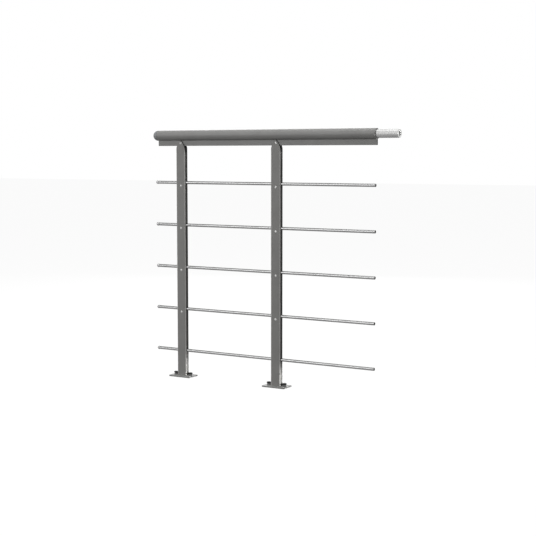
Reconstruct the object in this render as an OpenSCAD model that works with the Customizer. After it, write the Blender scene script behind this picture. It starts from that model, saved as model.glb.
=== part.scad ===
// Landing balustrade module: a round handrail with a web under it, carried by two
// flat posts on bolted base plates, with five horizontal rods passing through the posts.
// Millimetres. X runs along the handrail, the front face looks along -Y, Z is up.
// The origin is the centre of the left base plate's underside.

/* [Overall] */
// Height from the floor to the crown of the handrail
total_height = 1000; // [850:5:1200]
// Distance between the centre lines of the two posts
post_spacing = 443; // [320:1:600]
// Reach of the rods past the left post's centre line, to the tips of their end caps
rod_left_reach = 126.5; // [90:0.5:200]
// Reach of the handrail past the left post's centre line, without its end cap
rail_left_reach = 111; // [80:1:180]
// Reach of the handrail past the right post's centre line, without the connector
rail_right_reach = 425; // [100:1:520]
// Reach of the rods past the right post's centre line
rod_right_reach = 420.5; // [100:0.5:520]

/* [Handrail] */
// Outer diameter of the handrail tube
rail_d = 41; // [38:0.5:50]
// Wall of the handrail tube
rail_wall = 3; // [2:0.5:4]
// Thickness of the web under the tube, front to back
web_t = 10; // [7:0.5:12]
// Depth of the web below the tube's underside
web_drop = 21; // [18:0.5:30]
// Wall of the hollow web
web_wall = 2; // [1.5:0.5:3]

/* [Handrail ends] */
// Straight skirt of the domed end cap before its hemisphere
cap_skirt = 4; // [1:0.5:8]
// Length of the end cap's spigot inside the tube
cap_spigot_l = 22; // [10:1:40]
// Outer diameter of the connector sleeve
connector_d = 32; // [24:0.5:33]
// Wall of the connector sleeve
connector_wall = 7.5; // [2:0.5:9]
// Length of the connector sleeve that stands out of the handrail
connector_reach = 90; // [40:1:150]
// Length of the connector sleeve inside the handrail
connector_grip = 90; // [40:1:150]
// Bevel on the rims of the connector sleeve
connector_bevel = 1.2; // [0.5:0.1:2]
// Width of the groove that marks how far the sleeve goes into the tube
mark_groove_w = 2; // [1:0.5:4]
// Depth of the mark groove
mark_groove_depth = 0.4; // [0.2:0.1:0.8]
// Length of the bush that centres the connector in the tube
bush_l = 60; // [20:1:80]
// How far the bush lies back from the end of the tube
bush_setback = 8; // [2:1:20]

/* [Posts] */
// Width of a post along the handrail
post_w = 43; // [32:1:60]
// Depth of a post from front to back
post_d = 20; // [18:1:30]
// Wall of a post
post_wall = 2; // [1.5:0.5:3]
// Outer corner radius of a post
post_corner_r = 3.5; // [2.5:0.5:5]
// Height of the pointed arch at the top of a post
arch_h = 46; // [40:1:70]
// How far the point of the arch reaches above the tube's underside
arch_overlap = 1.5; // [0:0.5:2]
// Length of the plastic top insert below the web
insert_leg = 43; // [20:1:60]

/* [Base plates] */
// Width of a base plate along the handrail
plate_w = 98; // [88:1:140]
// Depth of a base plate from front to back
plate_d = 62; // [40:1:120]
// Thickness of a base plate
plate_t = 6; // [4:0.5:10]
// Bevel on the upper edges of a base plate
plate_bevel = 0.5; // [0.5:0.5:2]

/* [Floor bolts] */
// Distance between the two floor bolts of a base plate
bolt_pitch = 70; // [64:1:120]
// Shank diameter of a floor bolt
bolt_d = 8; // [6:1:8]
// Width across the flats of a floor bolt's head
bolt_head_af = 13; // [12:1:14]
// Height of a floor bolt's head
bolt_head_h = 6.5; // [4:0.5:8]
// Outer diameter of the washer under the head
washer_d = 16; // [15:1:17]
// Thickness of the washer
washer_t = 1.6; // [1:0.1:2.5]
// Outer diameter of the round cover cap on the head
bolt_cap_d = 17.5; // [16.5:0.5:19]
// Height of the cover cap
bolt_cap_h = 6; // [4:0.5:8]
// How far the cover cap grips down over the head
bolt_cap_grip = 1.6; // [1:0.1:3]

/* [Rods] */
// Number of rods
rod_count = 5; // [5]
// Outer diameter of a rod
rod_d = 12; // [10:0.5:14]
// Wall of a rod
rod_wall = 1; // [0.5:0.25:2]
// Height of the lowest rod's centre line above the floor
low_rod_h = 108.5; // [80:0.5:200]
// Drop from the crown of the handrail to the top rod's centre line
top_rod_drop = 209; // [150:1:260]
// How much wider a rod's ball end cap is than the rod
rod_cap_extra = 2; // [0.5:0.5:6]
// Length of the solid plug that closes a rod's left end
rod_plug_l = 12; // [8:1:20]
// Diameter of the stud that holds the ball in the plug
rod_stud_d = 5; // [4:0.5:6]

/* [Screws] */
// Distance of a rod screw below its rod's centre line
rod_screw_drop = 12.5; // [11:0.5:16]
// Head diameter of a rod screw
rod_screw_head_d = 10; // [8:0.5:12]
// Head height of a rod screw
rod_screw_head_h = 2.4; // [1.5:0.1:4]
// Shank diameter of a rod screw
rod_screw_d = 4; // [3:0.5:5]
// Shank length of a rod screw
rod_screw_l = 12; // [8:1:15]
// Head diameter of the clamp screw at the web
clamp_head_d = 11; // [9:0.5:12]
// Head height of the clamp screw
clamp_head_h = 3.3; // [2:0.1:5]
// Shank diameter of the clamp screw
clamp_d = 6; // [4:0.5:7]
// Diameter of the cap nut behind the post
clamp_nut_d = 10.5; // [9:0.5:12]
// Height of the cap nut, dome included
clamp_nut_h = 7; // [5:0.5:10]
// Width across the flats of the key sockets in the screw heads
key_af = 3; // [2.5:0.5:4]
// Depth of the key sockets
key_depth = 1.4; // [1:0.1:2]

/* [Fits] */
// Radial clearance of rods and screws in their holes
hole_clearance = 0.2; // [0.1:0.05:0.4]
// Clearance between nested plastic and metal pieces
fit_clearance = 0.1; // [0.05:0.05:0.2]

/* [Hidden] */

$fn = 64;
eps = 0.01;            // overshoot of a cutting body past a face
LEFT = 0;              // X of the left post's centre line
RIGHT = post_spacing;  // X of the right post's centre line
rail_r = rail_d / 2;
rail_z = total_height - rail_r;
rail_bore_r = rail_r - rail_wall;
rail_x0 = -rail_left_reach;
rail_x1 = post_spacing + rail_right_reach;
web_z = rail_z - rail_r - web_drop;
web_mid_z = web_z + web_drop / 2;
post_top = rail_z - rail_r + arch_overlap;
arch_base = post_top - arch_h;
arch_r = (pow(post_w / 2, 2) + pow(arch_h, 2)) / post_w;
rod_cap_d = rod_d + rod_cap_extra;
rod_cap_seat = sqrt(pow(rod_cap_d, 2) - pow(rod_d, 2)) / 2; // ball centre to its flat
rod_x0 = -rod_left_reach + rod_cap_d / 2 + rod_cap_seat;
rod_x1 = post_spacing + rod_right_reach;
rod_pitch = (total_height - top_rod_drop - low_rod_h) / (rod_count - 1);
bolt_seat = plate_t + washer_t;
bolt_top = bolt_seat + bolt_head_h;
painted = "#747472";
bright_steel = "#c4c6c8";
black_plastic = "#141414";

// Height of a rod's centre line; rod 1 is the top one
function rod_z(i) = total_height - top_rod_drop - (i - 1) * rod_pitch;

// A cylinder along +X from (x, 0, z)
module bar_x(x, z, r, l) translate([x, 0, z]) rotate([0, 90, 0]) cylinder(r = r, h = l);

// A cylinder along +Y from (x, y, z)
module bar_y(x, y, z, r, l) translate([x, y, z]) rotate([-90, 0, 0]) cylinder(r = r, h = l);

// A rectangle centred on the origin with round corners
module round_rect(w, d, r) {
    square([w - 2 * r, d], center = true);
    square([w, d - 2 * r], center = true);
    for (sx = [-1, 1], sy = [-1, 1])
        translate([sx * (w / 2 - r), sy * (d / 2 - r)]) circle(r = r);
}

// The post's outline seen from the front: straight sides and a pointed arch
module arch_outline(z0) {
    translate([-post_w / 2, z0]) square([post_w, arch_base - z0]);
    intersection() {
        translate([-post_w / 2, arch_base - eps]) square([post_w, arch_h + 2 * eps]);
        translate([post_w / 2 - arch_r, arch_base]) circle(r = arch_r, $fn = 128);
        translate([arch_r - post_w / 2, arch_base]) circle(r = arch_r, $fn = 128);
    }
}

// The arch outline as a slab through the whole depth of a post
module arch_slab(z0) rotate([90, 0, 0])
    linear_extrude(height = post_d + 2, center = true) arch_outline(z0);

// Clears the handrail tube out of a post's tip
module rail_saddle() bar_x(-post_w, rail_z, rail_r + hole_clearance, 2 * post_w);

module handrail() color(painted) difference() {
    union() {
        bar_x(rail_x0, rail_z, rail_r, rail_x1 - rail_x0);
        translate([rail_x0, -web_t / 2, web_z])
            cube([rail_x1 - rail_x0, web_t, rail_z - rail_bore_r - web_z - eps]);
    }
    bar_x(rail_x0 - eps, rail_z, rail_bore_r, rail_x1 - rail_x0 + 2 * eps);
    translate([rail_x0 - eps, web_wall - web_t / 2, web_z + web_wall])
        cube([rail_x1 - rail_x0 + 2 * eps, web_t - 2 * web_wall, web_drop - web_wall]);
    for (x = [LEFT, RIGHT])
        bar_y(x, -web_t, web_mid_z, clamp_d / 2 + hole_clearance, 2 * web_t);
}

module handrail_end_cap() color(painted) {
    bar_x(rail_x0 - cap_skirt, rail_z, rail_r, cap_skirt);
    intersection() {
        translate([rail_x0 - cap_skirt, 0, rail_z]) rotate([0, 90, 0]) sphere(r = rail_r);
        translate([rail_x0 - cap_skirt - rail_d, -rail_d, rail_z - rail_d])
            cube([rail_d, 2 * rail_d, 2 * rail_d]);
    }
    bar_x(rail_x0 - eps, rail_z, rail_bore_r - fit_clearance, cap_spigot_l);
}

// The sleeve's wall from its inner rim to its outer rim, with the mark groove between
module connector_sleeve() color("#d9dad8")
    translate([rail_x1 - connector_grip, 0, rail_z]) rotate([90, 0, 90]) rotate_extrude()
        polygon([
            [connector_d / 2 - connector_wall, 0],
            [connector_d / 2 - connector_bevel, 0],
            [connector_d / 2, connector_bevel],
            [connector_d / 2, connector_grip - mark_groove_w],
            [connector_d / 2 - mark_groove_depth, connector_grip - mark_groove_w],
            [connector_d / 2 - mark_groove_depth, connector_grip],
            [connector_d / 2, connector_grip],
            [connector_d / 2, connector_grip + connector_reach - connector_bevel],
            [connector_d / 2 - connector_bevel, connector_grip + connector_reach],
            [connector_d / 2 - connector_wall, connector_grip + connector_reach]
        ]);

module connector_bush() color(black_plastic) difference() {
    bar_x(rail_x1 - bush_setback - bush_l, rail_z, rail_bore_r - fit_clearance, bush_l);
    bar_x(rail_x1 - bush_setback - bush_l - eps, rail_z,
        connector_d / 2 + fit_clearance, bush_l + 2 * eps);
}

// One post, a flat tube with an arched top, its rod holes and its screw holes
module post(x) color(painted) translate([x, 0, 0]) difference() {
    intersection() {
        translate([0, 0, plate_t]) linear_extrude(height = post_top - plate_t)
            round_rect(post_w, post_d, post_corner_r);
        arch_slab(0);
    }
    translate([0, 0, plate_t - eps]) linear_extrude(height = post_top)
        round_rect(post_w - 2 * post_wall, post_d - 2 * post_wall,
            post_corner_r - post_wall);
    rail_saddle();
    for (i = [1 : rod_count])
        bar_x(-post_w, rod_z(i), rod_d / 2 + hole_clearance, 2 * post_w);
    for (i = [1 : rod_count - 1])
        bar_y(0, -post_d, rod_z(i) - rod_screw_drop, rod_screw_d / 2 + hole_clearance, post_d);
    bar_y(0, -post_d, web_mid_z, clamp_d / 2 + hole_clearance, 2 * post_d);
}
module left_post() post(LEFT);
module right_post() post(RIGHT);

// The plastic block that fills a post's arch and saddles the web
module top_insert(x) color(black_plastic) translate([x, 0, 0]) difference() {
    intersection() {
        translate([0, 0, web_z - insert_leg]) linear_extrude(height = post_top)
            round_rect(post_w - 2 * post_wall - 2 * fit_clearance,
                post_d - 2 * post_wall - 2 * fit_clearance, post_corner_r - post_wall);
        arch_slab(0);
    }
    translate([-post_w, -web_t / 2 - fit_clearance, web_z])
        cube([2 * post_w, web_t + 2 * fit_clearance, total_height]);
    rail_saddle();
    bar_y(0, -post_d, web_mid_z, clamp_d / 2 + hole_clearance, 2 * post_d);
}
module left_post_top_insert() top_insert(LEFT);
module right_post_top_insert() top_insert(RIGHT);

// A bevelled slab's outline along one direction
module plate_profile(w) polygon([
    [-w / 2, 0], [w / 2, 0], [w / 2, plate_t - plate_bevel],
    [w / 2 - plate_bevel, plate_t], [plate_bevel - w / 2, plate_t],
    [-w / 2, plate_t - plate_bevel]
]);

module base_plate(x) color(painted) translate([x, 0, 0]) difference() {
    intersection() {
        rotate([90, 0, 0]) linear_extrude(height = plate_d, center = true)
            plate_profile(plate_w);
        rotate([90, 0, 90]) linear_extrude(height = plate_w, center = true)
            plate_profile(plate_d);
    }
    for (side = [-1, 1]) translate([side * bolt_pitch / 2, 0, -eps])
        cylinder(r = bolt_d / 2 + hole_clearance, h = plate_t + 2 * eps);
}
module left_base_plate() base_plate(LEFT);
module right_base_plate() base_plate(RIGHT);

// Rod i: a tube with a plugged left end, tapped for the ball, and an open right end
module rod(i) color(bright_steel) difference() {
    bar_x(rod_x0, rod_z(i), rod_d / 2, rod_x1 - rod_x0);
    bar_x(rod_x0 + rod_plug_l, rod_z(i), rod_d / 2 - rod_wall,
        rod_x1 - rod_x0 - rod_plug_l + eps);
    bar_x(rod_x0 - eps, rod_z(i), rod_stud_d / 2 + fit_clearance, rod_plug_l + 2 * eps);
}
module rod_1() rod(1);
module rod_2() rod(2);
module rod_3() rod(3);
module rod_4() rod(4);
module rod_5() rod(5);

// The ball on rod i's left end, with its stud
module rod_end_cap(i) color(bright_steel) {
    difference() {
        translate([rod_x0 - rod_cap_seat, 0, rod_z(i)]) rotate([0, 90, 0])
            sphere(d = rod_cap_d);
        bar_x(rod_x0, rod_z(i), rod_d, rod_d);
    }
    bar_x(rod_x0 - eps, rod_z(i), rod_stud_d / 2, rod_plug_l);
}
module rod_1_end_cap() rod_end_cap(1);
module rod_2_end_cap() rod_end_cap(2);
module rod_3_end_cap() rod_end_cap(3);
module rod_4_end_cap() rod_end_cap(4);
module rod_5_end_cap() rod_end_cap(5);

// A round-headed screw along +Y with its head on a post's front face
module front_screw(x, z, head_d, head_h, shank_d, shank_l) color(bright_steel)
    translate([x, -post_d / 2, z]) rotate([-90, 0, 0]) difference() {
        union() {
            dome_head(head_d, head_h);
            cylinder(d = shank_d, h = shank_l);
        }
        translate([0, 0, -head_h - eps])
            cylinder(d = key_af / cos(30), h = key_depth, $fn = 6);
    }

// A screw head as a slice of a ball, standing on Z = 0 and bulging along -Z
module dome_head(d, h) {
    ball_r = (pow(d / 2, 2) + pow(h, 2)) / (2 * h);
    intersection() {
        translate([0, 0, ball_r - h]) sphere(r = ball_r);
        translate([-d, -d, -h]) cube([2 * d, 2 * d, h]);
    }
}

module clamp_screw(x) front_screw(x, web_mid_z, clamp_head_d, clamp_head_h,
    clamp_d, post_d + clamp_nut_h / 2);
module left_clamp_screw() clamp_screw(LEFT);
module right_clamp_screw() clamp_screw(RIGHT);

// The domed nut behind a post, bored for the clamp screw
module clamp_nut(x) color(bright_steel)
    translate([x, post_d / 2, web_mid_z]) rotate([-90, 0, 0]) difference() {
        union() {
            cylinder(d = clamp_nut_d, h = clamp_nut_h / 2);
            translate([0, 0, clamp_nut_h / 2]) rotate([180, 0, 0])
                dome_head(clamp_nut_d, clamp_nut_h / 2);
        }
        translate([0, 0, -eps])
            cylinder(r = clamp_d / 2 + fit_clearance, h = clamp_nut_h / 2 + fit_clearance);
    }
module left_clamp_nut() clamp_nut(LEFT);
module right_clamp_nut() clamp_nut(RIGHT);

module rod_screw(x, i) front_screw(x, rod_z(i) - rod_screw_drop, rod_screw_head_d,
    rod_screw_head_h, rod_screw_d, rod_screw_l);
module left_rod_screw_1() rod_screw(LEFT, 1);
module left_rod_screw_2() rod_screw(LEFT, 2);
module left_rod_screw_3() rod_screw(LEFT, 3);
module left_rod_screw_4() rod_screw(LEFT, 4);
module right_rod_screw_1() rod_screw(RIGHT, 1);
module right_rod_screw_2() rod_screw(RIGHT, 2);
module right_rod_screw_3() rod_screw(RIGHT, 3);
module right_rod_screw_4() rod_screw(RIGHT, 4);

// A floor bolt: hexagon head on a shank that ends flush with the plate's underside
module floor_bolt(x, side) color(bright_steel)
    translate([x + side * bolt_pitch / 2, 0, 0]) {
        cylinder(d = bolt_d, h = bolt_seat + eps);
        translate([0, 0, bolt_seat])
            cylinder(d = bolt_head_af / cos(30), h = bolt_head_h, $fn = 6);
    }
module left_post_outer_bolt() floor_bolt(LEFT, -1);
module left_post_inner_bolt() floor_bolt(LEFT, 1);
module right_post_inner_bolt() floor_bolt(RIGHT, -1);
module right_post_outer_bolt() floor_bolt(RIGHT, 1);

module washer(x, side) color("#8c8c8a")
    translate([x + side * bolt_pitch / 2, 0, plate_t]) difference() {
        cylinder(d = washer_d, h = washer_t);
        translate([0, 0, -eps])
            cylinder(r = bolt_d / 2 + hole_clearance, h = washer_t + 2 * eps);
    }
module left_post_outer_washer() washer(LEFT, -1);
module left_post_inner_washer() washer(LEFT, 1);
module right_post_inner_washer() washer(RIGHT, -1);
module right_post_outer_washer() washer(RIGHT, 1);

// The round cover on a bolt head, with a hexagonal pocket underneath
module bolt_cap(x, side) color(black_plastic)
    translate([x + side * bolt_pitch / 2, 0, bolt_top - bolt_cap_grip]) difference() {
        intersection() {
            cylinder(d = bolt_cap_d, h = bolt_cap_h);
            translate([0, 0, bolt_cap_h]) rotate([180, 0, 0])
                translate([0, 0, bolt_cap_d]) sphere(r = bolt_cap_d);
        }
        translate([0, 0, -eps]) cylinder(d = (bolt_head_af + 2 * fit_clearance) / cos(30),
            h = bolt_cap_grip + eps, $fn = 6);
    }
module left_post_outer_bolt_cap() bolt_cap(LEFT, -1);
module left_post_inner_bolt_cap() bolt_cap(LEFT, 1);
module right_post_inner_bolt_cap() bolt_cap(RIGHT, -1);
module right_post_outer_bolt_cap() bolt_cap(RIGHT, 1);

handrail();
handrail_end_cap();
connector_sleeve();
connector_bush();
left_post();
right_post();
left_post_top_insert();
right_post_top_insert();
left_base_plate();
right_base_plate();
rod_1();
rod_2();
rod_3();
rod_4();
rod_5();
rod_1_end_cap();
rod_2_end_cap();
rod_3_end_cap();
rod_4_end_cap();
rod_5_end_cap();
left_clamp_screw();
right_clamp_screw();
left_clamp_nut();
right_clamp_nut();
left_rod_screw_1();
left_rod_screw_2();
left_rod_screw_3();
left_rod_screw_4();
right_rod_screw_1();
right_rod_screw_2();
right_rod_screw_3();
right_rod_screw_4();
left_post_outer_bolt();
left_post_inner_bolt();
right_post_inner_bolt();
right_post_outer_bolt();
left_post_outer_washer();
left_post_inner_washer();
right_post_inner_washer();
right_post_outer_washer();
left_post_outer_bolt_cap();
left_post_inner_bolt_cap();
right_post_inner_bolt_cap();
right_post_outer_bolt_cap();
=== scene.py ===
"""Looks of the landing balustrade: finishes, fine shapes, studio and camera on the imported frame."""

import logging
import math
from dataclasses import dataclass
from enum import Enum
from typing import Sequence

import bmesh
import bpy
from bpy.types import Material, NodeSocket, Object
from mathutils import Matrix, Vector
from mathutils.geometry import tessellate_polygon


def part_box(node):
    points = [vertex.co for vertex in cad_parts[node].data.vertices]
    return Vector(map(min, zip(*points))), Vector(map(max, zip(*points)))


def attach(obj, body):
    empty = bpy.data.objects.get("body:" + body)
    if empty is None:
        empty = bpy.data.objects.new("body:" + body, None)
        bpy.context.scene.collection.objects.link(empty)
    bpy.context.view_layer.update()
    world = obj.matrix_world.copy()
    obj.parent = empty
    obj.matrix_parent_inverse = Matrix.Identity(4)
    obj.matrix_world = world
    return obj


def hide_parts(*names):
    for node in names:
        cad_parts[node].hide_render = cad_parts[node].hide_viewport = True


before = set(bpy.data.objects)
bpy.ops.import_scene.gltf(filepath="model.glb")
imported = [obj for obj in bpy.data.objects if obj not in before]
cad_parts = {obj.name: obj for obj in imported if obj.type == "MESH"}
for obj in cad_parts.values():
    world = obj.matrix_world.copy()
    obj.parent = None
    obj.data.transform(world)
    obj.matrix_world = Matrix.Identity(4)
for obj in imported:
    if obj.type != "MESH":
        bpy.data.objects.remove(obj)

Pair = tuple[float, float]
Triple = tuple[float, float, float]

LOG = logging.getLogger("balustrade")
MM = 0.001
BODY = "root"
# Mesh attribute that marks the post corners whose paint is lightened as a painted highlight.
PAINTED_HIGHLIGHT = "painted_highlight"
EVEN = (1.0, 1.0, 1.0)
WHITE = (1.0, 1.0, 1.0, 1.0)
SHARP_DEG = 28.0
SEGMENTS = 48
FINE_SEGMENTS = 72


class Axis(Enum):
    """The direction that a turned piece's axis points in."""

    ALONG_RAIL = (1.0, 0.0, 0.0)
    TO_BACK = (0.0, 1.0, 0.0)
    UP = (0.0, 0.0, 1.0)

    def turn(self) -> Matrix:
        """Gives the rotation that lays +Z along this axis."""
        return Vector((0.0, 0.0, 1.0)).rotation_difference(Vector(self.value)).to_matrix()


class Outline(Enum):
    """The shape of one ring of a turned piece."""

    ROUND = 0
    HEXAGON = 6


class Side(Enum):
    """The two posts, by the side of the balustrade that they stand on."""

    LEFT = "left"
    RIGHT = "right"


# ---- node trees


class Wiring:
    """A node tree that is built by short calls."""

    def __init__(self, tree: bpy.types.NodeTree) -> None:
        """Takes a tree on."""
        self.tree = tree

    def add(self, kind: str, out: int | str = 0, **settings: object) -> NodeSocket | None:
        """Adds one node and wires its inputs.

        Args:
            kind: The node's type name.
            out: Name or number of the output to give back.
            **settings: Attributes of the node. With a leading "in_", what the input of that
                name or number gets: a socket to be joined to, or a plain value.

        Returns:
            The output, or None for a node without outputs.
        """
        node = self.tree.nodes.new(kind)
        inputs = {key[3:]: settings.pop(key) for key in list(settings) if key.startswith("in_")}
        for key, value in settings.items():
            setattr(node, key, value)
        self.feed(node, **inputs)
        return node.outputs[out] if len(node.outputs) else None

    def feed(self, node: bpy.types.Node, **inputs: object) -> None:
        """Gives a node's inputs sockets to be joined to, or plain values.

        Args:
            node: The node.
            **inputs: What each input gets, by its number or by its name with _ for a space.
        """
        for key, value in inputs.items():
            socket = node.inputs[int(key) if key.isdigit() else key.replace("_", " ")]
            if isinstance(value, NodeSocket):
                self.tree.links.new(value, socket)
            else:
                socket.default_value = value

    def seen_share(self) -> NodeSocket:
        """Tells rays that see a thing from rays that light others by it.

        Returns:
            1 for rays from the camera, from reflections and through glass, else 0.
        """
        share, *others = (self.add("ShaderNodeLightPath", out=f"Is {kind} Ray")
                          for kind in ("Camera", "Glossy", "Transmission"))
        for other in others:
            share = self.add("ShaderNodeMath", operation="MAXIMUM", in_0=share, in_1=other)
        return share


class ShaderTree(Wiring):
    """A material's node tree with one Principled BSDF."""

    def __init__(self, name: str) -> None:
        """Makes an empty material.

        Args:
            name: The material's name.
        """
        self.material = bpy.data.materials.new(name)
        self.material.use_nodes = True
        super().__init__(self.material.node_tree)
        self.shader = self.tree.nodes["Principled BSDF"]
        self.place = self.add("ShaderNodeTexCoord", out="Object")

    def set(self, **inputs: object) -> None:
        """Feeds the shader's own inputs."""
        self.feed(self.shader, **inputs)

    def noise(self, scale: float, detail: float = 2.0, roughness: float = 0.5,
              stretch: Triple = EVEN) -> NodeSocket:
        """Adds a noise pattern on the object's own coordinates.

        Args:
            scale: Features per metre.
            detail: Octaves.
            roughness: Weight of the finer octaves.
            stretch: Scale of the pattern along X, Y and Z.

        Returns:
            The pattern's value socket.
        """
        mapping = self.add("ShaderNodeMapping", in_Vector=self.place, in_Scale=stretch)
        return self.add("ShaderNodeTexNoise", out="Fac", in_Vector=mapping, in_Scale=scale,
                        in_Detail=detail, in_Roughness=roughness)

    def span(self, value: NodeSocket, low: float = 0.0, high: float = 1.0,
             used: Pair = (0.3, 0.7)) -> NodeSocket:
        """Maps a pattern onto a range.

        Args:
            value: The pattern.
            low: The result at the used range's start.
            high: The result at the used range's end.
            used: The pattern's used range.

        Returns:
            The mapped value socket.
        """
        return self.add("ShaderNodeMapRange", in_Value=value, in_From_Min=used[0],
                        in_From_Max=used[1], in_To_Min=low, in_To_Max=high)

    def shade(self, value: NodeSocket, colour: Triple, spread: float) -> None:
        """Lets a pattern from 0 to 1 run the base colour from darker to lighter.

        Args:
            value: The pattern.
            colour: Linear colour in the middle.
            spread: Share by which the colours at 0 and 1 differ from it.
        """
        dark, light = (tuple(c * share for c in colour) for share in (1 - spread, 1 + spread))
        self.set(Base_Color=self.add("ShaderNodeMix", out=2, data_type="RGBA", in_0=value,
                                     in_6=(*dark, 1.0), in_7=(*light, 1.0)))

    def lift(self, attribute: str, colour: Triple) -> None:
        """Turns the base colour to another where a mesh attribute is high.

        Args:
            attribute: The attribute's name.
            colour: The colour at its value 1.
        """
        before = self.shader.inputs["Base Color"].links[0].from_socket
        share = self.add("ShaderNodeAttribute", out="Fac", attribute_name=attribute)
        self.set(Base_Color=self.add("ShaderNodeMix", out=2, data_type="RGBA", in_0=share,
                                     in_6=before, in_7=(*colour, 1.0)))

    def rough(self, value: NodeSocket, middle: float, swing: Pair) -> None:
        """Lets a pattern run the roughness a step below and above its middle."""
        self.set(Roughness=self.span(value, middle - swing[0], middle + swing[1]))

    def bump(self, height: NodeSocket, depth: float) -> None:
        """Raises a relief pattern, with its depth in metres, on the surface."""
        self.set(Normal=self.add("ShaderNodeBump", in_Strength=1.0, in_Distance=depth,
                                 in_Height=height))


# ---- finishes


@dataclass(frozen=True)
class PowderCoat:
    """Baked powder coat: satin, with orange peel, faint cloudiness and a few fine scuffs."""

    name: str
    colour: Triple
    scuff_stretch: Triple = (0.06, 1.0, 1.0)
    gloss: float = 0.18
    # How much lighter the paint is, as a painted highlight, where the corner attribute is set; 0 for
    # none.
    painted_highlight_gain: float = 0.0
    roughness: float = 0.45
    swing: Pair = (0.04, 0.04)
    grit_scale: float = 900.0
    peel_scale: float = 420.0
    peel_depth: float = 0.03 * MM
    cloud: float = 0.05
    cloud_scale: float = 14.0
    scuff: float = 0.5
    scuff_scale: float = 260.0
    scuff_range: Pair = (0.68, 0.8)

    def material(self) -> Material:
        """Builds the material.

        Returns:
            The material.
        """
        tree = ShaderTree(self.name)
        tree.set(Specular_IOR_Level=self.gloss)
        cloud = tree.span(tree.noise(self.cloud_scale, detail=3.0))
        scuff = tree.noise(self.scuff_scale, detail=3.0, stretch=self.scuff_stretch)
        scuff = tree.span(scuff, 0.0, self.scuff, self.scuff_range)
        tree.shade(tree.add("ShaderNodeMath", operation="ADD", in_0=cloud, in_1=scuff),
                   self.colour, self.cloud)
        # Painted highlight: lighter base colour where the mesh attribute marks the rounded corners.
        if self.painted_highlight_gain:
            tree.lift(PAINTED_HIGHLIGHT, tuple(self.painted_highlight_gain * c for c in self.colour))
        tree.rough(tree.noise(self.grit_scale), self.roughness, self.swing)
        tree.bump(tree.noise(self.peel_scale, detail=1.0), self.peel_depth)
        return tree.material


@dataclass(frozen=True)
class GroundSteel:
    """Bright steel with a fine grain from grinding or turning, and a faint haze of handling."""

    name: str
    colour: Triple
    roughness: float = 0.28
    stretch: Triple = (0.02, 1.0, 1.0)
    grain_scale: float = 2600.0
    scratch_depth: float = 0.002 * MM
    haze: float = 0.06
    haze_scale: float = 22.0
    swing: Pair = (0.03, 0.05)
    tint: tuple[float, ...] = (0.35, 0.35, 0.35, 1.0)

    def material(self) -> Material:
        """Builds the material.

        Returns:
            The material.
        """
        tree = ShaderTree(self.name)
        tree.set(Metallic=1.0, Specular_Tint=self.tint)
        tree.shade(tree.span(tree.noise(self.haze_scale, detail=3.0)), self.colour, self.haze)
        grain = tree.noise(self.grain_scale, detail=3.0, roughness=0.6, stretch=self.stretch)
        tree.rough(grain, self.roughness, self.swing)
        tree.bump(grain, self.scratch_depth)
        return tree.material


@dataclass(frozen=True)
class MillAluminium:
    """Extruded aluminium as it left the mill: dull, with lengthwise die lines."""

    name: str
    colour: Triple
    metallic: float
    roughness: float
    gloss: float = 0.3
    swing: Pair = (0.08, 0.08)
    line_scale: float = 1100.0
    line_stretch: Triple = (0.004, 1.0, 1.0)
    line_depth: float = 0.004 * MM
    stain: float = 0.05
    stain_scale: float = 30.0
    stain_stretch: Triple = (0.3, 1.0, 1.0)

    def material(self) -> Material:
        """Builds the material.

        Returns:
            The material.
        """
        tree = ShaderTree(self.name)
        tree.set(Metallic=self.metallic, Specular_IOR_Level=self.gloss)
        stain = tree.noise(self.stain_scale, detail=4.0, stretch=self.stain_stretch)
        tree.shade(tree.span(stain), self.colour, self.stain)
        lines = tree.noise(self.line_scale, stretch=self.line_stretch)
        tree.rough(lines, self.roughness, self.swing)
        tree.bump(lines, self.line_depth)
        return tree.material


@dataclass(frozen=True)
class MouldedPlastic:
    """Injection-moulded plastic with a fine sparked texture."""

    name: str
    colour: Triple
    roughness: float = 0.45
    gloss: float = 0.25
    cloud: float = 0.08
    cloud_scale: float = 40.0
    swing: Pair = (0.05, 0.07)
    patch_scale: float = 700.0
    spark_scale: float = 1600.0
    spark_depth: float = 0.02 * MM

    def material(self) -> Material:
        """Builds the material.

        Returns:
            The material.
        """
        tree = ShaderTree(self.name)
        tree.set(Specular_IOR_Level=self.gloss)
        tree.shade(tree.span(tree.noise(self.cloud_scale, detail=3.0)), self.colour, self.cloud)
        tree.rough(tree.noise(self.patch_scale), self.roughness, self.swing)
        tree.bump(tree.noise(self.spark_scale), self.spark_depth)
        return tree.material


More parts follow.
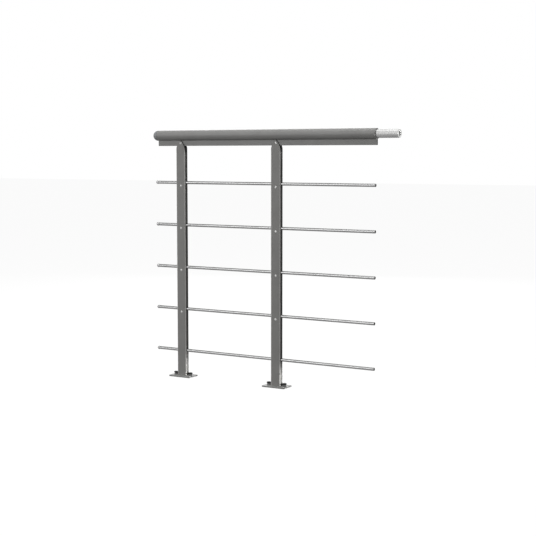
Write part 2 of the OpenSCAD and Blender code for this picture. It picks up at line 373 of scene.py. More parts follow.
class Finishes:
    """Every material: the record's slots, and two more for the sleeve's ends and bore, with the bore
    painted near-white as painted light.
    """

    def __init__(self) -> None:
        """Builds all the materials."""
        kinds = (
            PowderCoat("painted_profile", (0.156, 0.155, 0.151)),
            # The posts' rounded corners get a painted highlight at 2.3 times the paint's colour.
            PowderCoat("painted_post", (0.172, 0.170, 0.165), scuff_stretch=(1.0, 1.0, 0.06),
                       gloss=0.015, painted_highlight_gain=2.3),
            PowderCoat("painted_plate", (0.175, 0.175, 0.171), scuff_stretch=(0.3, 0.3, 1.0),
                       gloss=0.3),
            MouldedPlastic("painted_end_cap", (0.141, 0.145, 0.148), 0.5),
            MillAluminium("connector_aluminium", (0.37, 0.37, 0.366), 0.4, 0.5),
            MouldedPlastic("black_plastic", (0.008, 0.008, 0.008), 0.5, gloss=0.05),
            MouldedPlastic("bolt_cap_plastic", (0.006, 0.006, 0.006), 0.4, gloss=0.08),
            GroundSteel("rod_steel", (0.215, 0.215, 0.215)),
            GroundSteel("rod_cap_steel", (0.30, 0.30, 0.30), 0.22, EVEN),
            GroundSteel("screw_steel", (0.34, 0.34, 0.335), 0.3, (1.0, 0.2, 1.0)),
            GroundSteel("bolt_steel", (0.16, 0.16, 0.16), 0.4, EVEN, 1200.0),
            GroundSteel("washer_steel", (0.18, 0.18, 0.18), 0.4, EVEN, 1200.0),
            MillAluminium("faced_aluminium", (0.56, 0.56, 0.55), 1.0, 0.3),
            # Painted light: a near-white, non-metallic bore that stands in for light inside the
            # sleeve's mouth.
            MillAluminium("bore_aluminium", (0.90, 0.90, 0.89), 0.0, 0.5),
        )
        self.by_name = {kind.name: kind.material() for kind in kinds}

    def of(self, *names: str) -> tuple[Material, ...]:
        """Gives the materials of these names."""
        return tuple(self.by_name[name] for name in names)


# ---- shapes


@dataclass(frozen=True)
class Box:
    """A node's box in the frame."""

    low: Vector
    high: Vector

    @classmethod
    def of(cls, node: str) -> "Box":
        """Reads a node's box."""
        low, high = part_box(node)
        return cls(Vector(low), Vector(high))

    @property
    def middle(self) -> Vector:
        """The box's centre."""
        return (self.low + self.high) / 2

    @property
    def size(self) -> Vector:
        """The box's edge lengths."""
        return self.high - self.low


@dataclass(frozen=True)
class Ring:
    """One ring of a turned piece: half its width, its height on the axis and its outline."""

    half_width: float
    height: float
    outline: Outline = Outline.ROUND

    def reach(self, angle: float) -> float:
        """Gives the distance from the axis to the outline.

        Args:
            angle: Direction around the axis, in radians.

        Returns:
            The distance, in metres.
        """
        if self.outline is Outline.ROUND:
            return self.half_width
        sector = math.tau / self.outline.value
        return self.half_width / math.cos((angle + sector / 2) % sector - sector / 2)


def arc(centre: Pair, radius: float, start_deg: float, end_deg: float,
        steps: int) -> list[Pair]:
    """Lays points along an arc.

    Args:
        centre: The arc's centre.
        radius: The arc's radius.
        start_deg: Angle of the first point.
        end_deg: Angle of the last point.
        steps: Number of steps between them.

    Returns:
        The points, steps + 1 of them.
    """
    angles = (math.radians(start_deg + (end_deg - start_deg) * i / steps) for i in range(steps + 1))
    return [(centre[0] + radius * math.cos(a), centre[1] + radius * math.sin(a)) for a in angles]


def dome(radius: float, end_angle: float, steps: int) -> list[Ring]:
    """Rounds a ball off from its pole, up to an angle in radians."""
    angles = (end_angle * i / steps for i in range(steps + 1))
    return [Ring(radius * math.sin(a), radius * (1 - math.cos(a))) for a in angles]


def turned(name: str, rings: Sequence[Ring], axis: Axis, place: Vector = Vector(),
           segments: int = SEGMENTS) -> Object:
    """Turns rings into a closed shape, with a pole where the half width is nought.

    Args:
        name: The object's name.
        rings: The rings, in order along the surface.
        axis: Where the piece's own axis points.
        place: Where height nought lies.
        segments: Points around each ring.

    Returns:
        The new object, at the origin, with its place in its mesh.
    """
    shape = bmesh.new()
    turn = axis.turn()
    loops = []
    for ring in rings:
        if ring.half_width == 0:
            loops.append([shape.verts.new(turn @ Vector((0, 0, ring.height)) + place)])
            continue
        loop = []
        for i in range(segments):
            angle = math.tau * i / segments
            reach = ring.reach(angle)
            point = Vector((reach * math.cos(angle), reach * math.sin(angle), ring.height))
            loop.append(shape.verts.new(turn @ point + place))
        loops.append(loop)
    pairs = list(zip(loops, loops[1:]))
    if len(loops[0]) > 1 and len(loops[-1]) > 1:
        pairs.append((loops[-1], loops[0]))
    for one, two in pairs:
        for i in range(segments):
            j = (i + 1) % segments
            if len(one) == 1:
                shape.faces.new((one[0], two[i], two[j]))
            elif len(two) == 1:
                shape.faces.new((one[i], two[0], one[j]))
            else:
                shape.faces.new((one[i], two[i], two[j], one[j]))
    return placed(name, shape)


def placed(name: str, shape: bmesh.types.BMesh) -> Object:
    """Makes an object of a finished shape, with outward faces and smooth round stretches.

    Args:
        name: The object's name.
        shape: The shape, which is freed.

    Returns:
        The new object.
    """
    bmesh.ops.recalc_face_normals(shape, faces=shape.faces)
    mesh = bpy.data.meshes.new(name)
    shape.to_mesh(mesh)
    shape.free()
    mesh.shade_smooth()
    mesh.set_sharp_from_angle(angle=math.radians(SHARP_DEG))
    piece = bpy.data.objects.new(name, mesh)
    bpy.context.scene.collection.objects.link(piece)
    return piece


def even_normals(piece: Object) -> None:
    """Keeps large flat faces evenly lit where small fillets meet them."""
    modifier = piece.modifiers.new("even_normals", "WEIGHTED_NORMAL")
    modifier.keep_sharp = True


def dress(piece: Object, materials: Sequence[Material]) -> None:
    """Gives a piece its materials, in place of any it had.

    Args:
        piece: The piece.
        materials: Its materials, in order.
    """
    piece.data.materials.clear()
    for material in materials:
        piece.data.materials.append(material)


def hand_over(piece: Object, nodes: Sequence[str]) -> None:
    """Hands a finished piece to the frame and reports it.

    Args:
        piece: The piece.
        nodes: The CAD nodes that it stands for.
    """
    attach(piece, BODY)
    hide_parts(*nodes)
    LOG.info("%s: %d faces, stands for %d nodes", piece.name, len(piece.data.polygons), len(nodes))


# ---- copies in rows


class CopyTree(Wiring):
    """A Geometry Nodes tree that sets copies of a shape out in a grid along two directions."""

    INPUTS = (
        ("Shape", "NodeSocketGeometry"), ("Start", "NodeSocketVector"),
        ("Across Step", "NodeSocketVector"), ("Along Step", "NodeSocketVector"),
        ("Across Count", "NodeSocketInt"), ("Along Count", "NodeSocketInt"),
        ("Turn Axis", "NodeSocketVector"), ("Most Turn", "NodeSocketFloat"),
        ("Seed", "NodeSocketInt"), ("Finish", "NodeSocketMaterial"),
    )

    def __init__(self) -> None:
        """Builds the tree."""
        super().__init__(bpy.data.node_groups.new("copies_in_rows", "GeometryNodeTree"))
        face = self.tree.interface
        for name, kind in self.INPUTS:
            face.new_socket(name, in_out="INPUT", socket_type=kind)
        face.new_socket("Copies", in_out="OUTPUT", socket_type="NodeSocketGeometry")
        self.given = self.tree.nodes.new("NodeGroupInput").outputs
        count = self.add("ShaderNodeMath", operation="MULTIPLY", in_0=self.given["Across Count"],
                         in_1=self.given["Along Count"])
        points = self.add("GeometryNodePoints", in_Count=count, in_Position=self.grid_place())
        copies = self.add("GeometryNodeInstanceOnPoints", in_Points=points,
                          in_Instance=self.given["Shape"], in_Rotation=self.random_turn())
        real = self.add("GeometryNodeRealizeInstances", in_Geometry=copies)
        dressed = self.add("GeometryNodeSetMaterial", in_Geometry=real,
                           in_Material=self.given["Finish"])
        self.add("NodeGroupOutput", in_Copies=dressed)

    def grid_place(self) -> NodeSocket:
        """Works out each copy's place from its index.

        Returns:
            The place.
        """
        index, columns = self.add("GeometryNodeInputIndex"), self.given["Across Count"]
        column = self.add("ShaderNodeMath", operation="MODULO", in_0=index, in_1=columns)
        rows = self.add("ShaderNodeMath", operation="DIVIDE", in_0=index, in_1=columns)
        row = self.add("ShaderNodeMath", operation="FLOOR", in_0=rows)
        place = self.given["Start"]
        for step, times in (("Across Step", column), ("Along Step", row)):
            way = self.add("ShaderNodeVectorMath", operation="SCALE", in_0=self.given[step],
                           in_Scale=times)
            place = self.add("ShaderNodeVectorMath", operation="ADD", in_0=place, in_1=way)
        return place

    def random_turn(self) -> NodeSocket:
        """Works out how far each copy is turned about its axis."""
        angle = self.add("FunctionNodeRandomValue", out=1, data_type="FLOAT", in_2=0.0,
                         in_3=self.given["Most Turn"], in_Seed=self.given["Seed"])
        return self.add("FunctionNodeAxisAngleToRotation", out="Rotation",
                        in_Axis=self.given["Turn Axis"], in_Angle=angle)

    def fill(self, piece: Object, **values: object) -> None:
        """Turns a piece into its copies, as one plain mesh.

        Args:
            piece: The object that holds the shape once, about the origin.
            **values: Values of the tree's inputs, with _ for a space in a name.
        """
        modifier = piece.modifiers.new("copies", "NODES")
        modifier.node_group = self.tree
        for item in self.tree.interface.items_tree:
            key = item.name.replace(" ", "_")
            if item.in_out == "INPUT" and key in values:
                modifier[item.identifier] = values[key]
        graph = bpy.context.evaluated_depsgraph_get()
        mesh = bpy.data.meshes.new_from_object(piece.evaluated_get(graph), depsgraph=graph)
        piece.modifiers.clear()
        piece.data = mesh
        mesh.name = piece.name


# ---- sub-assemblies


@dataclass
class Handrail:
    """The handrail extrusion: a tube with a hollow web under it."""

    finishes: Finishes
    wall: float = 3 * MM
    web_thickness: float = 10 * MM
    web_wall: float = 2 * MM
    web_fillet: float = 2 * MM
    web_corner: float = 0.8 * MM
    cavity_corner: float = 0.5 * MM
    end_chamfer: float = 0.4 * MM
    tube_steps: int = 96
    fillet_steps: int = 6

    def __post_init__(self) -> None:
        """Reads the handrail's place from the frame."""
        self.box = Box.of("handrail")
        cap = Box.of("handrail_end_cap")
        self.radius = cap.size.z / 2
        self.axis_z = cap.middle.z

    def outer_outline(self) -> list[Pair]:
        """Draws the outer outline, with fillets where the web meets the tube.

        Returns:
            Its points in Y and Z.
        """
        half, fillet, corner = self.web_thickness / 2, self.web_fillet, self.web_corner
        drop = math.sqrt((self.radius + fillet) ** 2 - (half + fillet) ** 2)
        fillet_z = self.axis_z - drop
        lean = math.degrees(math.atan2(drop, half + fillet))
        foot_z = self.box.low.z + corner
        return (arc((0.0, self.axis_z), self.radius, -lean, 180 + lean, self.tube_steps)
                + arc((-half - fillet, fillet_z), fillet, lean, 0, self.fillet_steps)[1:]
                + arc((corner - half, foot_z), corner, 180, 270, self.fillet_steps)
                + arc((half - corner, foot_z), corner, 270, 360, self.fillet_steps)
                + arc((half + fillet, fillet_z), fillet, 180, 180 - lean, self.fillet_steps)[:-1])

    def inner_outlines(self) -> list[list[Pair]]:
        """Draws the tube's bore and the web's cavity.

        Returns:
            The points of each in Y and Z.
        """
        bore = arc((0.0, self.axis_z), self.radius - self.wall, 0, 360, self.tube_steps)[:-1]
        side = self.web_thickness / 2 - self.web_wall - self.cavity_corner
        low = self.box.low.z + self.web_wall + self.cavity_corner
        high = self.axis_z - self.radius - self.cavity_corner
        cavity = []
        corners = ((side, high, 0), (-side, high, 90), (-side, low, 180), (side, low, 270))
        for y, z, start in corners:
            cavity += arc((y, z), self.cavity_corner, start, start + 90, self.fillet_steps)
        return [bore, cavity]

    def inset(self, outline: list[Pair], by: float) -> list[Pair]:
        """Draws an outline smaller all round.

        Args:
            outline: The outline, anticlockwise.
            by: How far each point moves in.

        Returns:
            The smaller outline.
        """
        moved = []
        for i, (y, z) in enumerate(outline):
            before, after = Vector(outline[i - 1]), Vector(outline[(i + 1) % len(outline)])
            along = (after - before).normalized()
            moved.append((y - along.y * by, z + along.x * by))
        return moved

    def build(self) -> None:
        """Builds the extrusion and hands it over."""
        shape = bmesh.new()
        outer = self.outer_outline()
        small = self.inset(outer, self.end_chamfer)
        x0, x1, chamfer = self.box.low.x, self.box.high.x, self.end_chamfer
        rows = [[shape.verts.new((x, y, z)) for y, z in outline] for x, outline in
                ((x0, small), (x0 + chamfer, outer), (x1 - chamfer, outer), (x1, small))]
        walls = list(zip(rows, rows[1:]))
        holes = []
        for outline in self.inner_outlines():
            ends = [[shape.verts.new((x, y, z)) for y, z in outline] for x in (x0, x1)]
            walls.append(tuple(ends))
            holes.append(ends)
        for one, two in walls:
            for i in range(len(one)):
                shape.faces.new((one[i - 1], one[i], two[i], two[i - 1]))
        for end, row in ((0, rows[0]), (1, rows[-1])):
            loops = [row] + [ends[end] for ends in holes]
            points = [vert for loop in loops for vert in loop]
            for face in tessellate_polygon([[vert.co for vert in loop] for loop in loops]):
                shape.faces.new([points[i] for i in face])
        piece = placed("handrail_profile", shape)
        even_normals(piece)
        dress(piece, self.finishes.of("painted_profile"))
        hand_over(piece, ["handrail"])


@dataclass
class RailEnds:
    """What closes and joins the handrail: domed cap, connector sleeve and its bush."""

    finishes: Finishes
    cap_edge: float = 0.35 * MM
    seam: float = 0.25 * MM
    spigot_step: float = 3.1 * MM
    connector_bore: float = 8.5 * MM
    bevel: float = 1.2 * MM
    groove_width: float = 2 * MM
    groove_depth: float = 0.4 * MM
    grip: float = 90 * MM
    dome_steps: int = 20
    countersink: float = 0.8 * MM

    def build(self) -> None:
        """Builds the cap and the sleeve, and dresses the bush."""
        self.build_cap()
        self.build_connector()
        dress(bpy.data.objects["connector_bush"], self.finishes.of("black_plastic"))
        LOG.info("connector_bush: dressed")

    def build_cap(self) -> None:
        """Builds the domed cap, with a fine seam against the tube and its spigot inside."""
        box = Box.of("handrail_end_cap")
        rail_start = Box.of("handrail").low.x
        radius = box.size.z / 2
        skirt = rail_start - box.low.x - radius
        spigot = radius - self.spigot_step
        tail = [Ring(radius, radius + skirt - self.seam - self.cap_edge),
                Ring(radius - self.cap_edge, radius + skirt - self.seam),
                Ring(spigot, radius + skirt - self.seam),
                Ring(spigot, box.size.x - self.cap_edge),
                Ring(spigot - self.cap_edge, box.size.x), Ring(0, box.size.x)]
        piece = turned("handrail_domed_cap", dome(radius, math.pi / 2, self.dome_steps) + tail,
                       Axis.ALONG_RAIL, Vector((box.low.x, 0, box.middle.z)), FINE_SEGMENTS)
        dress(piece, self.finishes.of("painted_end_cap"))
        hand_over(piece, ["handrail_end_cap"])

    def build_connector(self) -> None:
        """Builds the connector sleeve, with its mark groove and bright faced ends."""
        box = Box.of("connector_sleeve")
        radius, bore, bevel = box.size.z / 2, self.connector_bore, self.bevel
        end, sink = box.size.x, self.countersink
        groove = radius - self.groove_depth
        rings = [Ring(bore, sink), Ring(bore + sink, 0), Ring(radius - bevel, 0),
                 Ring(radius, bevel), Ring(radius, self.grip - self.groove_width),
                 Ring(groove, self.grip - self.groove_width), Ring(groove, self.grip),
                 Ring(radius, self.grip), Ring(radius, end - bevel), Ring(radius - bevel, end),
                 Ring(bore + sink, end), Ring(bore, end - sink)]
        piece = turned("connector_tube", rings, Axis.ALONG_RAIL,
                       Vector((box.low.x, 0, box.middle.z)), FINE_SEGMENTS)
        dress(piece, self.finishes.of("connector_aluminium", "faced_aluminium",
                                      "bore_aluminium"))
        # The bore's faces take the near-white finish, which is painted light.
        outside, faced, inside = range(3)
        for face in piece.data.polygons:
            x, y, z = face.center
            across = math.hypot(y, z - box.middle.z)
            at_end = min(x - box.low.x, box.high.x - x) < bevel
            cover = faced if at_end else outside
            face.material_index = inside if across < bore + sink else cover
        hand_over(piece, ["connector_sleeve"])


@dataclass
class Repeated:
    """Pieces that repeat in rows, set out by the copy tree."""

    finishes: Finishes
    copies: CopyTree

    def set_out(self, piece: Object, slot: str, nodes: Sequence[str], start: Vector,
                seed: int, rows: dict[str, object]) -> None:
        """Fills the rows with copies of a piece and hands them over.

        Args:
            piece: The piece, about the origin.
            slot: Its material slot.
            nodes: The CAD nodes that the copies stand for.
            start: Where the first copy sits.
            seed: Seed of the copies' turns about their axes.
            rows: The copy tree's values for the rows.
        """
        finish, = self.finishes.of(slot)
        self.copies.fill(piece, Start=start, Seed=seed, Finish=finish, Most_Turn=math.tau, **rows)
        hand_over(piece, nodes)


@dataclass
class Rods(Repeated):
    """The horizontal rods with the balls on their left ends."""

    count: int = 5
    wall: float = 1 * MM
    edge: float = 0.4 * MM
    mouth_depth: float = 60 * MM
    ball_steps: int = 18
    ring_groove: float = 0.25 * MM

    def __post_init__(self) -> None:
        """Reads the rods' places from the frame."""
        self.top, bottom = Box.of("rod_1"), Box.of(f"rod_{self.count}")
        step = (bottom.middle - self.top.middle) / (self.count - 1)
        self.rows = dict(Along_Step=step, Along_Count=self.count, Across_Step=(0, 0, 0),
                         Across_Count=1, Turn_Axis=Axis.ALONG_RAIL.value)

    def build(self) -> None:
        """Builds both kinds of piece."""
        self.build_rods()
        self.build_balls()

    def names(self, ending: str = "") -> list[str]:
        """Lists the nodes of one kind."""
        return [f"rod_{i}{ending}" for i in range(1, self.count + 1)]

    def build_rods(self) -> None:
        """Builds the rods, each with an open right end."""
        radius, length, edge = self.top.size.z / 2, self.top.size.x, self.edge
        bore = radius - self.wall
        floor = length - self.mouth_depth
        rings = [Ring(0, 0), Ring(radius - edge, 0), Ring(radius, edge),
                 Ring(radius, length - edge), Ring(radius - edge, length), Ring(bore, length),
                 Ring(bore, floor), Ring(0, floor)]
        self.set_out(turned("rods", rings, Axis.ALONG_RAIL), "rod_steel", self.names(),
                     Vector((self.top.low.x, 0, self.top.middle.z)), seed=3, rows=self.rows)

    def build_balls(self) -> None:
        """Builds the balls, each with a fine ring where it meets its rod."""
        ball = Box.of("rod_1_end_cap")
        radius, rod = ball.size.z / 2, self.top.size.z / 2
        rings = dome(radius, math.pi - math.asin(rod / radius), self.ball_steps)
        seat = rings[-1].height
        rings += [Ring(rod - self.ring_groove, seat), Ring(0, seat)]
        self.set_out(turned("rod_ball_ends", rings, Axis.ALONG_RAIL), "rod_cap_steel",
                     self.names("_end_cap"), Vector((ball.low.x, 0, self.top.middle.z)),
                     seed=5, rows=self.rows)


@dataclass
class Screws(Repeated):
    """The screws through the posts: one under each of the upper rods and one in the web."""

    rod_rows: int = 4
    key_width: float = 3 * MM
    key_depth: float = 1.4 * MM
    key_lead: float = 0.25 * MM
    mouth_ratio: float = 1.45
    rod_head: float = 2.4 * MM
    rod_shank: float = 2 * MM
    clamp_head: float = 3.3 * MM
    clamp_shank: float = 3 * MM
    rim: float = 0.35 * MM
    dome_steps: int = 8

    def head(self, name: str, radius: float, height: float, shank: float,
             length: float) -> Object:
        """Builds a round-headed socket screw whose seat is at the origin.

        Args:
            name: The object's name.
            radius: Head radius.
            height: Head height.
            shank: Shank radius.
            length: Shank length.

        Returns:
            The screw.
        """
        key, rim = self.key_width / 2, self.rim
        ball = (radius ** 2 + (height - rim) ** 2) / (2 * (height - rim))
        spread = math.asin(radius / ball)
        mouth = math.asin(key * self.mouth_ratio / ball)
        key_floor = self.key_depth - height
        rings = [Ring(0, key_floor), Ring(key, key_floor, Outline.HEXAGON),
                 Ring(key, self.key_lead - height, Outline.HEXAGON)]
        for i in range(self.dome_steps + 1):
            angle = mouth + (spread - mouth) * i / self.dome_steps
            rings.append(Ring(ball * math.sin(angle), ball - height - ball * math.cos(angle)))
        rings += [Ring(radius, 0), Ring(shank, 0), Ring(shank, length), Ring(0, length)]
        return turned(name, rings, Axis.TO_BACK)

    def build(self) -> None:
        """Builds the rod screws, the clamp screws and the cap nuts behind the posts."""
        left, right = Box.of("left_rod_screw_1"), Box.of("right_rod_screw_1")
        last = Box.of(f"left_rod_screw_{self.rod_rows}")
        across = right.middle - left.middle
        rows = dict(Across_Step=across, Across_Count=2, Turn_Axis=Axis.TO_BACK.value,
                    Along_Step=(last.middle - left.middle) / (self.rod_rows - 1),
                    Along_Count=self.rod_rows)
        piece = self.head("rod_screws", left.size.x / 2, self.rod_head, self.rod_shank,
                          left.size.y - self.rod_head)
        names = [f"{side.value}_rod_screw_{i + 1}" for side in Side for i in range(self.rod_rows)]
        start = Vector((left.middle.x, left.low.y + self.rod_head, left.middle.z))
        self.set_out(piece, "screw_steel", names, start, seed=7, rows=rows)
        self.build_clamps(rows | dict(Along_Step=(0, 0, 0), Along_Count=1))

    def build_clamps(self, pair: dict[str, object]) -> None:
        """Builds the clamp screws and their cap nuts.

        Args:
            pair: The copy tree's values for one piece at each post.
        """
        screw, nut = Box.of("left_clamp_screw"), Box.of("left_clamp_nut")
        seat = screw.low.y + self.clamp_head
        piece = self.head("clamp_screws", screw.size.x / 2, self.clamp_head, self.clamp_shank,
                          nut.low.y - seat)
        self.set_out(piece, "screw_steel", [f"{side.value}_clamp_screw" for side in Side],
                     Vector((screw.middle.x, seat, screw.middle.z)), seed=11, rows=pair)
        height, base, rim = nut.size.y, nut.size.y / 2, self.rim
        flats = nut.size.x / 2 * math.cos(math.pi / Outline.HEXAGON.value)
        rings = [Ring(0, 0), Ring(flats - rim, 0, Outline.HEXAGON),
                 Ring(flats, rim, Outline.HEXAGON), Ring(flats, base - rim, Outline.HEXAGON)]
        for i in range(self.dome_steps):
            angle = math.pi / 2 * i / self.dome_steps
            rings.append(Ring((flats - rim) * math.cos(angle),
                              base + (height - base) * math.sin(angle)))
        piece = turned("cap_nuts", rings + [Ring(0, height)], Axis.TO_BACK)
        self.set_out(piece, "screw_steel", [f"{side.value}_clamp_nut" for side in Side],
                     Vector((nut.middle.x, nut.low.y, nut.middle.z)), seed=13, rows=pair)


@dataclass
class FloorFixings(Repeated):
    """The floor bolts, their washers and their cover caps."""

    rim: float = 0.5 * MM
    shank: float = 4 * MM
    washer_edge: float = 0.25 * MM
    washer_hole_share: float = 0.25
    cap_crown: float = 1.6 * MM
    crown_steps: int = 6
    # Shares of the cap's radius, and of its crown's height down from the top.
    crown_rings: tuple[Pair, ...] = ((0.62, 0.3), (0.3, 0.05))

    def __post_init__(self) -> None:
        """Reads the fixings' places from the frame: two posts with two each."""
        self.bolt, inner, far = (Box.of(f"{place}_bolt") for place in
                                 ("left_post_outer", "left_post_inner", "right_post_inner"))
        self.washer = Box.of("left_post_outer_washer")
        outer = self.bolt.middle
        self.rows = dict(Across_Step=inner.middle - outer, Across_Count=2, Along_Count=2,
                         Along_Step=far.middle - outer, Turn_Axis=Axis.UP.value)

    def build(self) -> None:
        """Builds the three kinds of piece."""
        self.build_bolts()
        self.build_washers()
        self.build_caps()

    def names(self, kind: str) -> list[str]:
        """Lists the four nodes of one kind."""
        return [f"{side.value}_post_{end}_{kind}" for side in Side for end in ("outer", "inner")]

    def foot(self, height: float = 0.0) -> Vector:
        """Gives a point on the first bolt's axis, at a height above the floor."""
        return Vector((*self.bolt.middle.xy, height))

    def build_bolts(self) -> None:
        """Builds the hexagon bolts."""
        size, shank, rim = self.bolt.size, self.shank, self.rim
        half, seat, top = min(size.xy) / 2, self.washer.high.z, self.bolt.high.z
        rings = [Ring(0, 0), Ring(shank, 0), Ring(shank, seat), Ring(half, seat, Outline.HEXAGON),
                 Ring(half, top - rim, Outline.HEXAGON), Ring(half - rim, top), Ring(0, top)]
        self.set_out(turned("floor_bolts", rings, Axis.UP), "bolt_steel", self.names("bolt"),
                     self.foot(), seed=19, rows=self.rows)

    def build_washers(self) -> None:
        """Builds the washers."""
        radius, height, edge = self.washer.size.x / 2, self.washer.size.z, self.washer_edge
        hole = self.bolt.size.y * self.washer_hole_share
        rings = [Ring(radius - edge, 0), Ring(radius, edge), Ring(radius, height - edge),
                 Ring(radius - edge, height), Ring(hole, height), Ring(hole, 0)]
        self.set_out(turned("floor_washers", rings, Axis.UP), "washer_steel",
                     self.names("washer"), self.foot(self.washer.low.z), seed=17,
                     rows=self.rows)

    def build_caps(self) -> None:
        """Builds the cover caps: discs with a low crown and a rounded rim."""
        cap = Box.of("left_post_outer_bolt_cap")
        radius, height, crown, rim = cap.size.x / 2, cap.size.z, self.cap_crown, self.rim
        rings = [Ring(0, 0), Ring(radius - rim, 0), Ring(radius, rim)]
        rings += [Ring(*point) for point in arc((radius - rim, height - crown - rim), rim, 0, 90,
                                                self.crown_steps)]
        rings += [Ring(radius * out, height - crown * down) for out, down in self.crown_rings]
        rings.append(Ring(0, height))
        self.set_out(turned("bolt_cover_caps", rings, Axis.UP), "bolt_cap_plastic",
                     self.names("bolt_cap"), self.foot(cap.low.z), seed=23, rows=self.rows)


@dataclass
class Posts:
    """The posts, their base plates and top inserts: the frame's shapes with eased edges."""

    finishes: Finishes
    merge: float = 0.002 * MM
    flat_deg: float = 0.3
    post_edge: float = 0.35 * MM
    plate_edge: float = 0.5 * MM
    insert_edge: float = 0.2 * MM
    bevel_steps: int = 2
    bevel_deg: float = 40
    corner_radius: float = 3.5 * MM
    painted_highlight_slack: float = 0.05 * MM
    arch_height: float = 49 * MM
    loop_drop: float = 1 * MM
    painted_shade_rise: float = 3 * MM
    edge_facing: float = 0.5

    def build(self) -> None:
        """Builds and dresses the pieces of both posts."""
        for side in Side:
            for part, slot, edge in (("post", "painted_post", self.post_edge),
                                     ("base_plate", "painted_plate", self.plate_edge),
                                     ("post_top_insert", "black_plastic", self.insert_edge)):
                node = f"{side.value}_{part}"
                piece = self.ease(node, slot, edge)
                # The post's arch edges get painted shade.
                if part == "post":
                    self.paint_arch_shade(piece, Box.of(node))

    def mark_painted_highlight(self, piece: Object, box: Box) -> None:
        """Marks the rounded corners below the arch, whose paint is lightened as a painted highlight
        for the light that they catch.

        Args:
            piece: The piece.
            box: Its node's box.
        """
        painted_highlight = piece.data.attributes.new(PAINTED_HIGHLIGHT, "FLOAT", "POINT")
        half, slack, radius = box.size / 2, self.painted_highlight_slack, self.corner_radius
        for vert in piece.data.vertices:
            off = vert.co - box.middle
            rounded = all(size - radius < abs(along) < size - slack
                          for along, size in ((off.x, half.x), (off.y, half.y)))
            straight = vert.co.z < box.high.z - self.arch_height
            painted_highlight.data[vert.index].value = float(rounded and straight)

    def paint_arch_shade(self, piece: Object, box: Box) -> None:
        """Paints the arch's cut edges with the black plastic as painted shade, so that they read as
        one dark band with the insert between them.

        Args:
            piece: The post.
            box: Its node's box.
        """
        dress(piece, self.finishes.of("painted_post", "black_plastic"))
        start = box.high.z - self.arch_height + self.painted_shade_rise
        dark = len(piece.data.materials) - 1
        # Painted shade: faces at the arch that face sideways take the black plastic.
        for face in piece.data.polygons:
            if face.center.z > start and abs(face.normal.y) < self.edge_facing:
                face.material_index = dark

    def ease(self, node: str, slot: str, edge: float) -> Object:
        """Copies a node's shape and eases its sharp edges.

        Args:
            node: The node.
            slot: Its material slot.
            edge: Width of the eased edges.

        Returns:
            The eased piece.
        """
        shape = bmesh.new()
        shape.from_mesh(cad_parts[node].data)
        bmesh.ops.remove_doubles(shape, verts=shape.verts, dist=self.merge)
        bmesh.ops.dissolve_limit(shape, angle_limit=math.radians(self.flat_deg), verts=shape.verts,
                                 edges=shape.edges)
        box = Box.of(node)
        cut = Vector((0, 0, box.high.z - self.arch_height - self.loop_drop))
        bmesh.ops.bisect_plane(shape, geom=shape.verts[:] + shape.edges[:] + shape.faces[:],
                               plane_co=cut, plane_no=Axis.UP.value)
        piece = placed(f"{node}_eased", shape)
        self.mark_painted_highlight(piece, box)
        bevel = piece.modifiers.new("eased_edges", "BEVEL")
        bevel.width = edge
        bevel.segments = self.bevel_steps
        bevel.limit_method = "ANGLE"
        bevel.angle_limit = math.radians(self.bevel_deg)
        even_normals(piece)
        dress(piece, self.finishes.of(slot))
        hand_over(piece, [node])
        return piece


# ---- studio


@dataclass(frozen=True)
class SoftBox:
    """One rectangular studio lamp aimed at a point."""

    name: str
    place: Triple
    target: Triple
    size: Pair
    power: float
    spread_deg: float = 180.0
    reflected: bool = True

    def build(self) -> None:
        """Hangs the lamp."""
        light = bpy.data.lights.new(self.name, "AREA")
        light.shape = "RECTANGLE"
        light.size, light.size_y = self.size
        light.energy = self.power
        light.spread = math.radians(self.spread_deg)
        lamp = bpy.data.objects.new(self.name, light)
        lamp.visible_camera = False
        lamp.visible_glossy = self.reflected
        lamp.location = self.place
        aim = Vector(self.target) - Vector(self.place)
        lamp.rotation_euler = aim.to_track_quat("-Z", "Y").to_euler()
        bpy.context.scene.collection.objects.link(lamp)


@dataclass(frozen=True)
class Camera:
    """The camera: where it stands, which way it looks and its lens."""

    place: Triple = (2.7456, -3.9303, 0.9030)
    turn_deg: float = 30.789
    tilt_deg: float = -5.476
    lens_mm: float = 79.41
    sensor_mm: float = 36.0
    far_clip: float = 100.0

    def build(self) -> None:
        """Sets the camera up and makes it the scene's own."""
        data = bpy.data.cameras.new("camera")
        data.lens = self.lens_mm
        data.sensor_width = self.sensor_mm
        data.clip_end = self.far_clip
        camera = bpy.data.objects.new("camera", data)
        camera.location = self.place
        camera.rotation_euler = (math.radians(90 + self.tilt_deg), 0.0,
                                 math.radians(self.turn_deg))
        bpy.context.scene.collection.objects.link(camera)
        bpy.context.scene.camera = camera


@dataclass(frozen=True)
class Sky:
    """The studio's walls and ceiling: white to the camera, brighter on one side as light."""

    bright_side: Triple = (-0.62, -0.74, 0.25)
    low: float = 0.02
    high: float = 1.05
    from_dot: float = 0.15
    to_dot: float = 0.95

    def build(self) -> None:
        """Makes the sky the scene's world."""
        world = bpy.data.worlds.new("studio_sky")
        world.use_nodes = True
        world.node_tree.nodes.clear()
        tree = Wiring(world.node_tree)
        side = tree.add("ShaderNodeVectorMath", out="Value", operation="DOT_PRODUCT",
                        in_0=tree.add("ShaderNodeTexCoord", out="Generated"),
                        in_1=Vector(self.bright_side).normalized())
        strength = tree.add("ShaderNodeMapRange", interpolation_type="SMOOTHSTEP", in_Value=side,
                            in_From_Min=self.from_dot, in_From_Max=self.to_dot,
                            in_To_Min=self.low, in_To_Max=self.high)
        fill = tree.add("ShaderNodeBackground", in_Color=WHITE, in_Strength=strength)
        seen = tree.add("ShaderNodeBackground", in_Color=WHITE)
        mix = tree.add("ShaderNodeMixShader", in_0=tree.seen_share(), in_1=fill, in_2=seen)
        tree.add("ShaderNodeOutputWorld", in_Surface=mix)
        bpy.context.scene.world = world


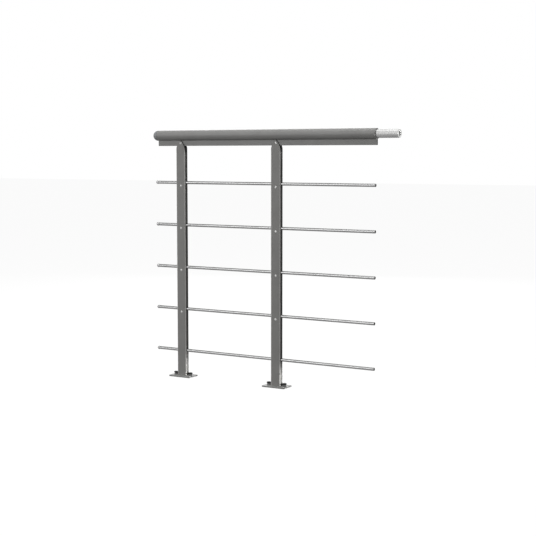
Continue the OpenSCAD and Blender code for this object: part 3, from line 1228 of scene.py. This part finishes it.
@dataclass(frozen=True)
class Floor:
    """A matt pale floor that the camera sees as white, with the soft shadow kept."""

    size: float = 60.0
    colour: float = 0.12
    glow: float = 0.93
    shadow_share: float = 0.10

    def build(self) -> None:
        """Lays the floor."""
        half = self.size / 2
        mesh = bpy.data.meshes.new("studio_floor")
        mesh.from_pydata([(-half, -half, 0), (half, -half, 0), (half, half, 0), (-half, half, 0)],
                         [], [(0, 1, 2, 3)])
        floor = bpy.data.objects.new("studio_floor", mesh)
        bpy.context.scene.collection.objects.link(floor)
        floor.data.materials.append(self.material())

    def material(self) -> Material:
        """Builds the floor's material.

        Returns:
            The material.
        """
        material = bpy.data.materials.new("studio_floor")
        material.use_nodes = True
        material.node_tree.nodes.clear()
        tree = Wiring(material.node_tree)
        matt, shadow = (tree.add("ShaderNodeBsdfDiffuse", in_Color=(shade, shade, shade, 1.0))
                        for shade in (self.colour, self.shadow_share))
        glow = tree.add("ShaderNodeEmission", in_Strength=self.glow)
        seen = tree.add("ShaderNodeAddShader", in_0=shadow, in_1=glow)
        mix = tree.add("ShaderNodeMixShader", in_0=tree.seen_share(), in_1=matt, in_2=seen)
        tree.add("ShaderNodeOutputMaterial", in_Surface=mix)
        return material


@dataclass(frozen=True)
class Studio:
    """White studio: sky, floor, soft lamps and camera."""

    sky: Sky = Sky()
    floor: Floor = Floor()
    camera: Camera = Camera()
    lamps: tuple[SoftBox, ...] = (
        SoftBox("key_lamp", (-1.6, -3.6, 1.9), (0.37, 0.0, 0.5), (2.4, 2.4), 101.0),
        SoftBox("top_lamp", (0.45, -0.2, 3.6), (0.4, 0.0, 0.5), (1.7, 2.2), 84.0),
        SoftBox("back_lamp", (-1.3, 3.4, 1.7), (0.37, 0.0, 0.5), (2.2, 2.2), 42.0),
        SoftBox("edge_lamp", (2.2, -2.7, 1.2), (0.37, 0.0, 0.5), (0.35, 2.2), 8.0),
        SoftBox("end_lamp", (1.9, -0.02, 0.99), (0.958, 0.0, 0.98), (0.05, 0.05), 0.019, 7.0),
        SoftBox("left_foot_lamp", (0.30, 0.0, 0.035), (0.0, 0.0, 0.03), (0.08, 0.02), 0.05,
                30.0, reflected=False),
        SoftBox("right_foot_lamp", (0.743, 0.0, 0.035), (0.443, 0.0, 0.03), (0.08, 0.02), 0.05,
                30.0, reflected=False),
    )

    def build(self) -> None:
        """Sets up everything but the balustrade."""
        bpy.context.scene.view_settings.view_transform = "Standard"
        self.sky.build()
        self.floor.build()
        for lamp in self.lamps:
            lamp.build()
        self.camera.build()


def main() -> None:
    """Builds the looks in order and hands them to the frame."""
    logging.basicConfig(level=logging.INFO, format="%(name)s: %(message)s")
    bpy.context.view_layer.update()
    finishes = Finishes()
    copies = CopyTree()
    Studio().build()
    for assembly in (Handrail(finishes), RailEnds(finishes), Posts(finishes),
                     Rods(finishes, copies), Screws(finishes, copies),
                     FloorFixings(finishes, copies)):
        LOG.info("building %s", type(assembly).__name__)
        assembly.build()


if __name__ == "__main__":
    main()
